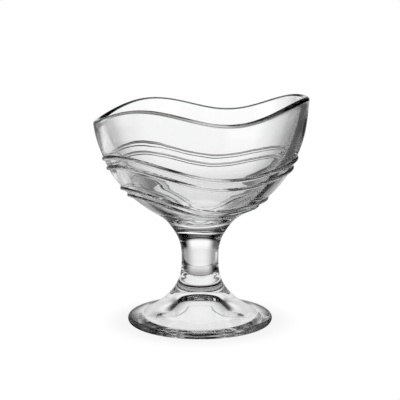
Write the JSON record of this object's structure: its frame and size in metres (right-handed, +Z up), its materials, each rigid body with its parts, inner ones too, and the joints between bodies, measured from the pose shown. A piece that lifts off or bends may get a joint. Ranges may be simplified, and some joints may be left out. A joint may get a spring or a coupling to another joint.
{
  "type": "parfait glass",
  "caption": "Clear pressed parfait glass: a wide bowl with a wavy rim and raised wavy ribs on a waisted solid stem and a round hollowed foot, for ice cream and layered desserts.",
  "frame": {"origin": "middle of the foot, on the surface the glass stands on", "axes": "+Z up along the stem, +X towards the rim's highest crest, -Y towards the viewer of the picture"},
  "size_m": [0.102, 0.1016, 0.1091],
  "materials": {
    "bowl_glass": "fire-polished clear",
    "stem_glass": "fire-polished clear",
    "foot_glass": "fire-polished clear"
  },
  "bodies": {
    "root": {"bowl": "bowl_glass", "stem": "stem_glass", "foot": "foot_glass"}
  },
  "joints": []
}
